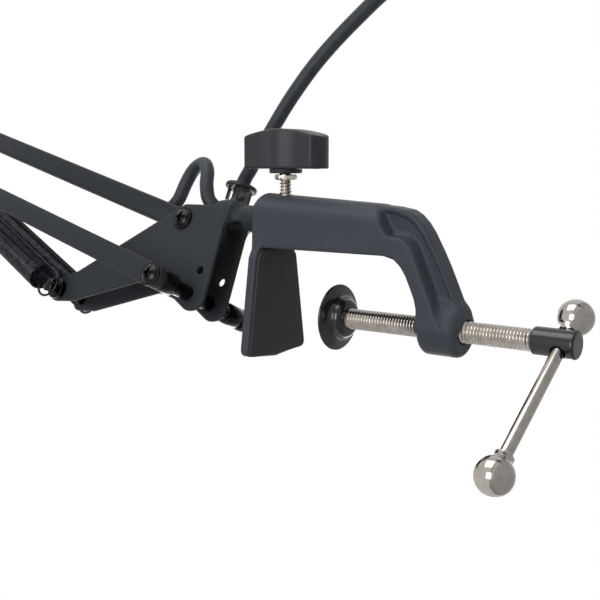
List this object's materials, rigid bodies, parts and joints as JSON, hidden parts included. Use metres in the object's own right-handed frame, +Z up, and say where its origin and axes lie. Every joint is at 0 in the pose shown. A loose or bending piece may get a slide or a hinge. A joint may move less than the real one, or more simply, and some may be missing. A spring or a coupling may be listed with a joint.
{
  "type": "table clamp microphone boom arm stand",
  "caption": "Table-clamped microphone boom stand: cast C clamp with ball-ended screw, swivelling bracket, sprung parallel-bar arms, tilting thread head and cable.",
  "frame": {"origin": "centre of the clamp's upper jaw face, on the clamp screw's axis, where the table's top surface meets the jaw liner", "axes": "+Z up along the screw and the swivel post, -X the way the table enters the clamp, +X towards the lock knob"},
  "size_m": [0.4683, 0.2506, 0.8473],
  "materials": {
    "powder_coat": "satin",
    "bar_paint": "satin",
    "black_plastic": "moulded",
    "jaw_rubber": "matt",
    "zinc_steel": "bright zinc",
    "nickel": "polished nickel",
    "black_steel": "gloss black",
    "cable_pvc": "satin"
  },
  "bodies": {
    "clamp": {"clamp_frame": "powder_coat", "jaw_liner": "jaw_rubber"},
    "lock": {"lock_knob": "black_plastic", "lock_screw": "zinc_steel"},
    "pad": {"swivel_pad": "black_steel"},
    "screw": {"clamp_screw": "zinc_steel", "screw_cap": "black_steel"},
    "handle": {"handle_bar": "nickel", "handle_ball_far": "nickel", "handle_ball_near": "nickel"},
    "base": {"base_bracket": "powder_coat", "upper_pivot_bolt": "black_steel", "lower_pivot_bolt": "black_steel", "pivot_bush_near": "black_steel", "pivot_bush_far": "black_steel", "pivot_spacer": "black_steel", "spring_pin_lower": "black_steel", "cable_clip": "black_plastic", "cable_base_loop": "cable_pvc", "cable_tail": "cable_pvc", "cable_coil": "cable_pvc", "line_connector": "nickel"},
    "lower_centre": {"lower_centre_bar": "bar_paint", "cable_lower_run": "cable_pvc", "cable_tie_lower_foot": "black_plastic", "cable_tie_lower_top": "black_plastic"},
    "lower_sides": {"lower_bar_near": "bar_paint", "lower_bar_far": "bar_paint"},
    "lower_springs": {"lower_spring_near": "black_steel", "lower_spring_far": "black_steel"},
    "lower_spring_tops": {"lower_sleeve_near": "black_plastic", "lower_sleeve_far": "black_plastic"},
    "lower_yoke": {"lower_spring_yoke": "black_steel"},
    "elbow": {"elbow_bracket": "powder_coat", "elbow_shaft_lower": "black_steel", "elbow_bolt_lower": "black_steel", "elbow_shaft_upper": "black_steel", "elbow_bolt_upper": "black_steel", "spring_pin_upper": "black_steel", "cable_elbow_loop": "cable_pvc"},
    "upper_centre": {"upper_centre_bar": "bar_paint", "cable_upper_run": "cable_pvc", "cable_tie_upper_foot": "black_plastic", "cable_tie_upper_top": "black_plastic", "cable_head_drop": "cable_pvc", "mic_connector": "nickel"},
    "upper_sides": {"upper_bar_near": "bar_paint", "upper_bar_far": "bar_paint"},
    "upper_springs": {"upper_spring_near": "black_steel", "upper_spring_far": "black_steel"},
    "upper_spring_tops": {"upper_sleeve_near": "black_plastic", "upper_sleeve_far": "black_plastic"},
    "upper_yoke": {"upper_spring_yoke": "black_steel"},
    "head": {"head_bracket": "powder_coat", "head_shaft": "black_steel", "head_bolt": "black_steel"},
    "tilt": {"tilt_block": "powder_coat", "mic_thread": "zinc_steel"},
    "tilt_screw": {"tilt_thumbscrew": "black_plastic"}
  },
  "joints": [
    {"name": "lock_turn", "type": "hinge", "parent": "clamp", "child": "lock", "pos_m": [0.0575, 0, -0.004], "axis": [1, 0, 0], "range_deg": [0, 720]},
    {"name": "screw_turn", "type": "hinge", "parent": "pad", "child": "screw", "pos_m": [0, 0, -0.07], "axis": [0, 0, 1], "range_deg": [-7920, 6120]},
    {"name": "pad_travel", "type": "slide", "parent": "clamp", "child": "pad", "axis": [0, 0, 1], "range_m": [-0.033, 0.0255]},
    {"name": "handle_slide", "type": "slide", "parent": "screw", "child": "handle", "axis": [0.5678, 0.8231, 0], "range_m": [0, 0.045]},
    {"name": "base_swivel", "type": "hinge", "parent": "clamp", "child": "base", "pos_m": [0.0369, 0, 0.01], "axis": [0, 0, 1], "continuous": true},
    {"name": "lower_arm", "type": "hinge", "parent": "base", "child": "lower_centre", "pos_m": [0.03302, -0.00184, 0.0449], "axis": [-0.4289, 0.9033, 0], "range_deg": [-9, 30], "deforming": ["cable_base_loop"]},
    {"name": "lower_sides", "type": "hinge", "parent": "base", "child": "lower_sides", "pos_m": [0.00366, -0.01579, 0.0295], "axis": [-0.4289, 0.9033, 0], "range_deg": [-9.18, 30.6]},
    {"name": "lower_spring_turn", "type": "hinge", "parent": "base", "child": "lower_springs", "pos_m": [-0.00096, -0.01798, 0.10934], "axis": [-0.4289, 0.9033, 0], "range_deg": [-12.3, 41.01]},
    {"name": "lower_spring_stretch", "type": "slide", "parent": "lower_springs", "child": "lower_spring_tops", "axis": [0.3595, 0.1707, 0.9174], "range_m": [-0.00838, 0.02793], "deforming": ["lower_spring_near", "lower_spring_far"]},
    {"name": "lower_yoke_turn", "type": "hinge", "parent": "lower_sides", "child": "lower_yoke", "pos_m": [0.05573, 0.00894, 0.25402], "axis": [-0.4289, 0.9033, 0], "range_deg": [-3.12, 10.41]},
    {"name": "elbow_level", "type": "hinge", "parent": "lower_centre", "child": "elbow", "pos_m": [0.11164, 0.03549, 0.3839], "axis": [-0.4289, 0.9033, 0], "range_deg": [-30.6, 9.18], "deforming": ["cable_elbow_loop"]},
    {"name": "upper_arm", "type": "hinge", "parent": "elbow", "child": "upper_centre", "pos_m": [0.10673, 0.03316, 0.4091], "axis": [-0.4289, 0.9033, 0], "range_deg": [-9, 30]},
    {"name": "upper_sides", "type": "hinge", "parent": "elbow", "child": "upper_sides", "pos_m": [0.07759, 0.01932, 0.425], "axis": [-0.4289, 0.9033, 0], "range_deg": [-9.18, 30.6]},
    {"name": "upper_spring_turn", "type": "hinge", "parent": "elbow", "child": "upper_springs", "pos_m": [0.13124, 0.0448, 0.4786], "axis": [-0.4289, 0.9033, 0], "range_deg": [-12.3, 41.01]},
    {"name": "upper_spring_stretch", "type": "slide", "parent": "upper_springs", "child": "upper_spring_tops", "axis": [0.8728, 0.4144, 0.258], "range_m": [-0.00838, 0.02793], "deforming": ["upper_spring_near", "upper_spring_far"]},
    {"name": "upper_yoke_turn", "type": "hinge", "parent": "upper_sides", "child": "upper_yoke", "pos_m": [0.26888, 0.11015, 0.51929], "axis": [-0.4289, 0.9033, 0], "range_deg": [-3.12, 10.41]},
    {"name": "head_level", "type": "hinge", "parent": "upper_centre", "child": "head", "pos_m": [0.39556, 0.1703, 0.55146], "axis": [-0.4289, 0.9033, 0], "range_deg": [-30.6, 9.18], "deforming": ["cable_head_drop"]},
    {"name": "head_tilt", "type": "hinge", "parent": "head", "child": "tilt", "pos_m": [0.41339, 0.17877, 0.57336], "axis": [-0.4289, 0.9033, 0], "range_deg": [-30, 110]},
    {"name": "tilt_screw_turn", "type": "hinge", "parent": "head", "child": "tilt_screw", "pos_m": [0.41339, 0.17877, 0.57336], "axis": [-0.4289, 0.9033, 0], "range_deg": [0, 720]}
  ],
  "couplings": [
    {"joint": "pad_travel", "follows": "screw_turn", "m_per_rad": 0.00023873},
    {"joint": "lower_sides", "follows": "lower_arm", "ratio": 1},
    {"joint": "lower_spring_turn", "follows": "lower_arm", "ratio": 1.3402},
    {"joint": "lower_spring_stretch", "follows": "lower_arm", "m_per_rad": 0.0523},
    {"joint": "lower_yoke_turn", "follows": "lower_arm", "ratio": 0.3402},
    {"joint": "elbow_level", "follows": "lower_arm", "ratio": -1},
    {"joint": "upper_sides", "follows": "upper_arm", "ratio": 1},
    {"joint": "upper_spring_turn", "follows": "upper_arm", "ratio": 1.3402},
    {"joint": "upper_spring_stretch", "follows": "upper_arm", "m_per_rad": 0.0523},
    {"joint": "upper_yoke_turn", "follows": "upper_arm", "ratio": 0.3402},
    {"joint": "head_level", "follows": "upper_arm", "ratio": -1}
  ]
}
